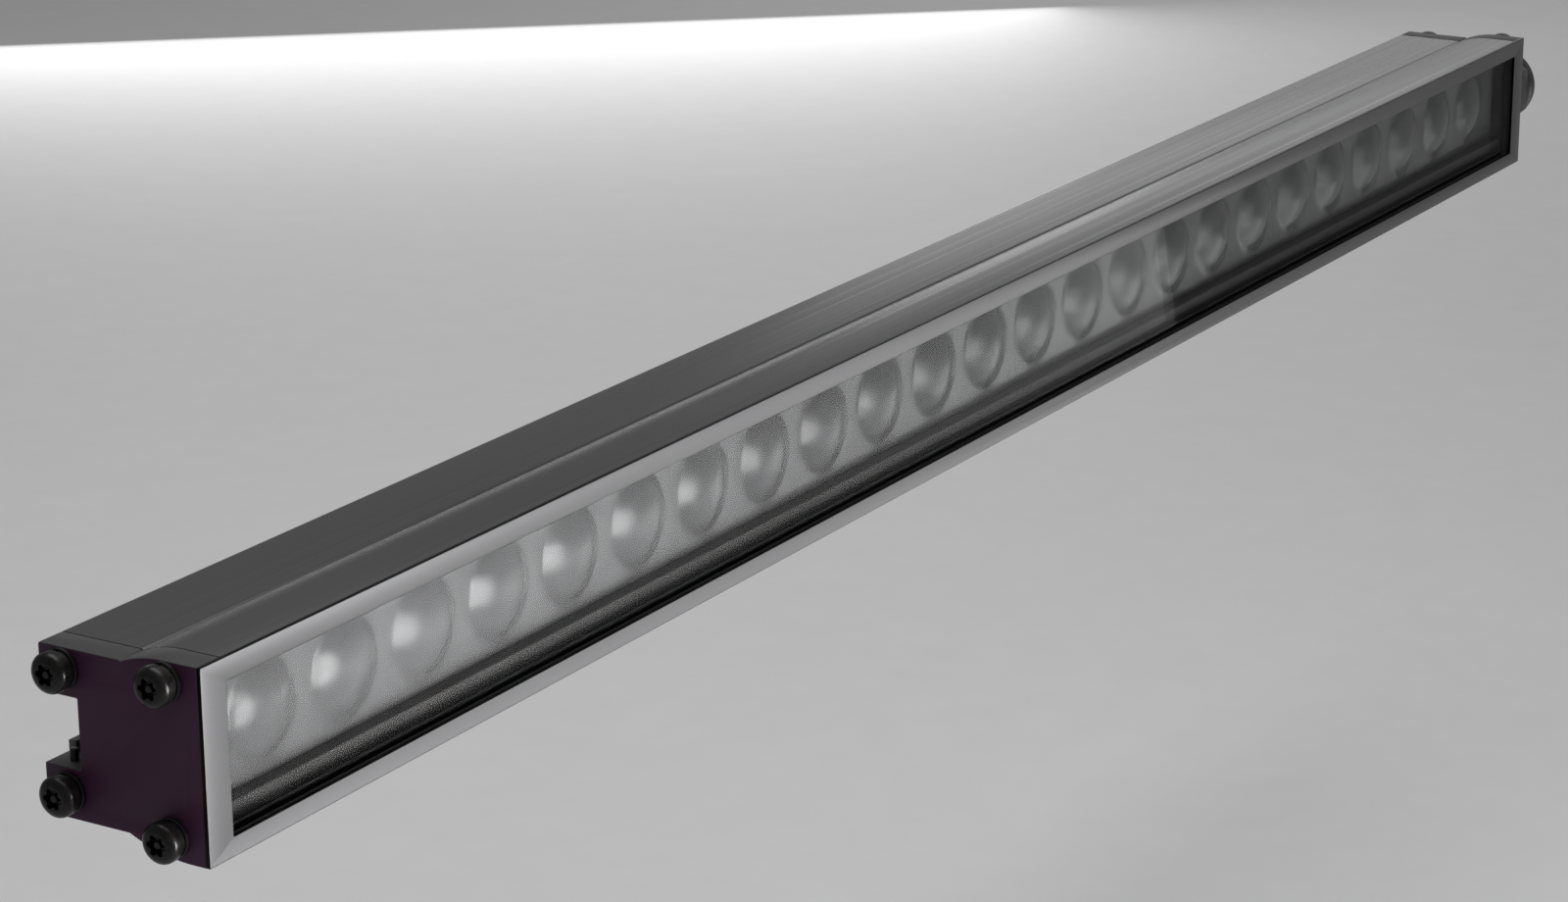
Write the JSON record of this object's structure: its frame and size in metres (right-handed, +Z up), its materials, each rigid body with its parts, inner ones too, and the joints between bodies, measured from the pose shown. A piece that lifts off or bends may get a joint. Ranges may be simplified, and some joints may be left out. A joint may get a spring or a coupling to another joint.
{
  "type": "wall washer light",
  "caption": "Linear outdoor wall washer light: extruded box with a glazed row of round lenses, capped ends, a cable gland and tilting wall feet that slide in a rear channel.",
  "frame": {"origin": "on the wall plane, midway between the two feet, level with the middle of the rear channel", "axes": "+X along the light towards the cable gland, +Y into the wall, +Z up; the light shines towards -Y"},
  "size_m": [1.0437, 0.088, 0.0608],
  "materials": {
    "anodised_body": "satin",
    "frame_paint": "satin",
    "cap_paint": "satin, dark aubergine",
    "clear_glass": "clear",
    "black_rubber": "matt",
    "lens_plastic": "clear",
    "dark_trim": "matt",
    "black_steel": "black oxide",
    "gland_metal": "satin nickel",
    "circuit_board": "white solder mask",
    "led_yellow": "phosphor",
    "thermal_grey": "matt",
    "plain_steel": "stainless",
    "white_plastic": "moulded",
    "driver_plastic": "moulded",
    "component_black": "moulded",
    "wire_sleeve": "smooth",
    "foot_aluminium": "satin"
  },
  "bodies": {
    "lamp": {"housing": "anodised_body", "front_frame": "frame_paint", "end_cap_left": "cap_paint", "end_cap_right": "cap_paint", "cover_glass": "clear_glass", "glass_gasket": "black_rubber", "glass_seal_back": "black_rubber", "end_seal_left": "black_rubber", "end_seal_right": "black_rubber", "gland_seal": "black_rubber", "gland_washer": "black_rubber", "lead_grommet": "black_rubber", "lens_strip_1": "lens_plastic", "lens_strip_2": "lens_plastic", "lens_strip_3": "lens_plastic", "lens_strip_4": "lens_plastic", "lower_trim": "dark_trim", "cap_screws_left": "black_steel", "cap_screws_right": "black_steel", "cap_flat_washers_left": "black_steel", "cap_flat_washers_right": "black_steel", "cap_spring_washers_left": "black_steel", "cap_spring_washers_right": "black_steel", "stop_pins": "black_steel", "gland_body": "gland_metal", "gland_dome_nut": "gland_metal", "led_board_1": "circuit_board", "led_board_2": "circuit_board", "led_board_3": "circuit_board", "led_board_4": "circuit_board", "driver_board": "circuit_board", "leds_1": "led_yellow", "leds_2": "led_yellow", "leds_3": "led_yellow", "leds_4": "led_yellow", "thermal_pad_1": "thermal_grey", "thermal_pad_2": "thermal_grey", "thermal_pad_3": "thermal_grey", "thermal_pad_4": "thermal_grey", "board_screws": "plain_steel", "driver_screws": "plain_steel", "board_connectors": "white_plastic", "terminal_block": "white_plastic", "driver_case": "driver_plastic", "driver_cover": "driver_plastic", "driver_parts": "component_black", "supply_leads": "wire_sleeve", "led_leads": "wire_sleeve"},
    "slider_left": {"slider_left": "foot_aluminium", "grub_screws_left": "plain_steel"},
    "foot_left": {"wall_foot_left": "foot_aluminium", "pivot_bolt_left": "plain_steel", "pivot_nut_left": "plain_steel"},
    "slider_right": {"slider_right": "foot_aluminium", "grub_screws_right": "plain_steel"},
    "foot_right": {"wall_foot_right": "foot_aluminium", "pivot_bolt_right": "plain_steel", "pivot_nut_right": "plain_steel"}
  },
  "joints": [
    {"name": "slide_left", "type": "slide", "parent": "lamp", "child": "slider_left", "axis": [1, 0, 0], "range_m": [-0.2225, 0.2195]},
    {"name": "slide_right", "type": "slide", "parent": "lamp", "child": "slider_right", "axis": [1, 0, 0], "range_m": [-0.2195, 0.2225]},
    {"name": "tilt_left", "type": "hinge", "parent": "slider_left", "child": "foot_left", "pos_m": [-0.25, -0.016, 0], "axis": [1, 0, 0], "range_deg": [-45, 45]},
    {"name": "tilt_right", "type": "hinge", "parent": "slider_right", "child": "foot_right", "pos_m": [0.25, -0.016, 0], "axis": [1, 0, 0], "range_deg": [-45, 45]}
  ],
  "couplings": [
    {"joint": "tilt_right", "follows": "tilt_left", "ratio": 1}
  ]
}
